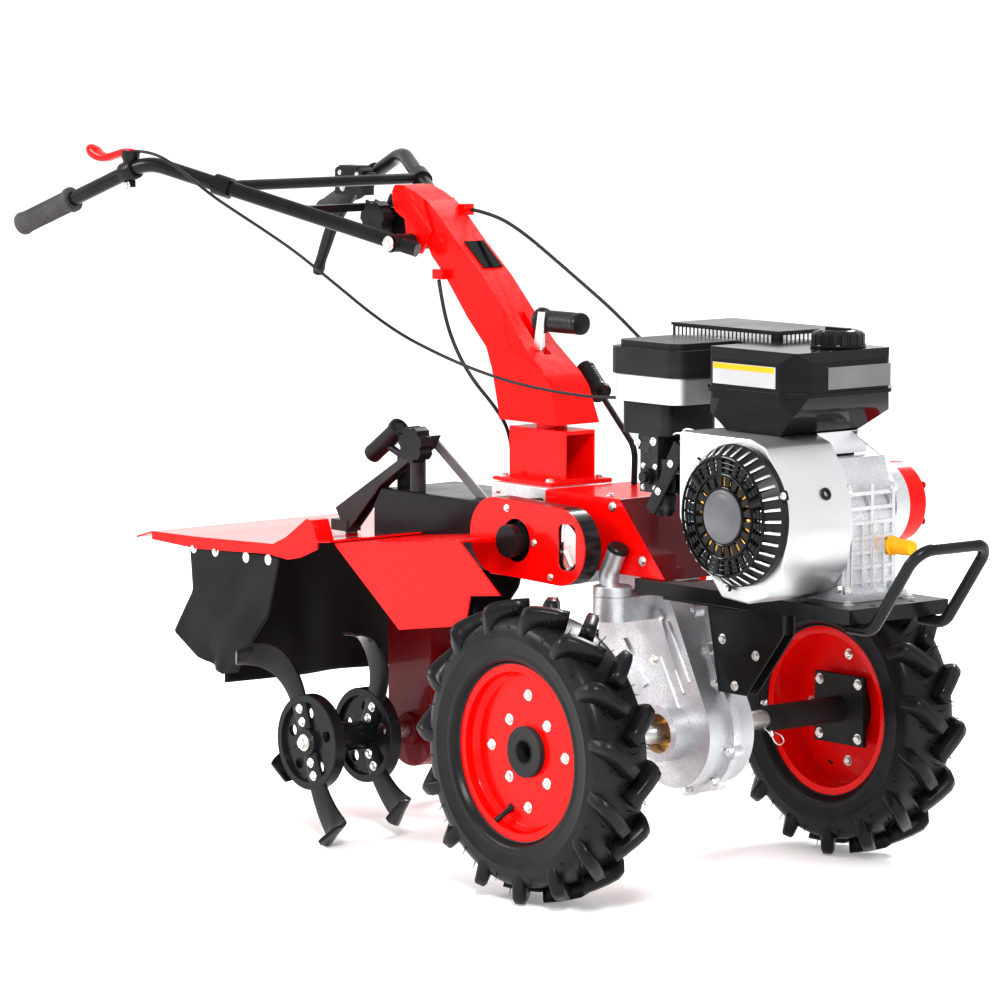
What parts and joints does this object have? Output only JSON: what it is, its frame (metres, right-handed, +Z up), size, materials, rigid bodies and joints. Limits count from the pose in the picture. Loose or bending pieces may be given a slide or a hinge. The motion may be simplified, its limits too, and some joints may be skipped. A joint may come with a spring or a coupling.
{
  "type": "rotary tiller",
  "caption": "Walk-behind petrol rotary tiller with lugged drive wheels, gooseneck handlebar column and a tined rotor under a rear hood.",
  "frame": {"origin": "on the ground under the middle of the whole machine", "axes": "+X forward, +Y the machine's left, +Z up"},
  "size_m": [1.9319, 0.749, 1.1076],
  "materials": {
    "tyre": "matt",
    "red_paint": "gloss",
    "dark_red_paint": "satin",
    "black_paint": "satin",
    "silver_paint": "satin",
    "cast_aluminium": "cast",
    "steel": "zinc plated",
    "hub_steel": "satin",
    "black_plastic": "textured",
    "gloss_black": "gloss",
    "yellow_plastic": "gloss",
    "red_plastic": "gloss",
    "rubber": "matt",
    "grip_rubber": "matt",
    "cable_black": "satin"
  },
  "bodies": {
    "chassis": {"gear_case": "cast_aluminium", "filler_neck": "cast_aluminium", "gearbox": "cast_aluminium", "chassis_frame": "red_paint", "engine_tray": "black_paint", "tray_bracket": "black_paint", "bumper": "black_paint", "post": "red_paint", "column": "red_paint", "belt_cover": "red_paint", "belt_pulley": "black_paint", "gear_lever": "black_plastic", "drive_lever": "black_plastic", "engine_block": "cast_aluminium", "blower_cowl": "silver_paint", "recoil_starter": "black_plastic", "output_cover": "red_paint", "fuel_tank": "gloss_black", "fuel_cap": "black_plastic", "air_cleaner": "black_plastic", "cleaner_band": "silver_paint", "carburettor": "cast_aluminium", "muffler": "steel", "muffler_guard": "black_paint", "dipstick": "yellow_plastic", "tiller_housing": "black_paint", "drive_leg": "dark_red_paint", "drive_tube": "black_paint", "tiller_shield": "red_paint", "hood": "red_paint", "rear_flap": "rubber", "side_flap_right": "rubber", "side_flap_left": "rubber", "depth_arm": "black_paint", "depth_knob": "black_plastic", "depth_strut": "steel", "depth_lever": "black_plastic", "head_bracket": "black_paint", "throttle_cable": "cable_black", "gear_cable": "cable_black", "engine_cable": "cable_black"},
    "wheel_right": {"tyre_right": "tyre", "rim_right": "red_paint", "hub_right": "hub_steel", "half_shaft_right": "steel"},
    "wheel_left": {"tyre_left": "tyre", "rim_left": "red_paint", "hub_left": "hub_steel", "half_shaft_left": "steel"},
    "tine_rotor": {"rotor_shaft": "steel", "tines_right": "black_paint", "tines_left": "black_paint"},
    "handlebar_assembly": {"handlebar": "black_paint", "grip_right": "grip_rubber", "grip_left": "grip_rubber", "crossbar": "black_paint", "lock_knob": "black_plastic", "throttle_lever": "red_plastic", "clutch_lever": "black_plastic"}
  },
  "joints": [
    {"name": "wheel_right_spin", "type": "hinge", "parent": "chassis", "child": "wheel_right", "pos_m": [0.391, -0.3205, 0.232], "axis": [0, 1, 0], "continuous": true},
    {"name": "wheel_left_spin", "type": "hinge", "parent": "chassis", "child": "wheel_left", "pos_m": [0.391, 0.3205, 0.232], "axis": [0, 1, 0], "continuous": true},
    {"name": "tine_rotor_spin", "type": "hinge", "parent": "chassis", "child": "tine_rotor", "pos_m": [-0.264, 0, 0.1546], "axis": [0, 1, 0], "continuous": true},
    {"name": "handlebar_height", "type": "hinge", "parent": "chassis", "child": "handlebar_assembly", "pos_m": [-0.257, 0, 0.95856], "axis": [0, 1, 0], "range_deg": [-12, 12], "deforming": ["throttle_cable"]}
  ]
}
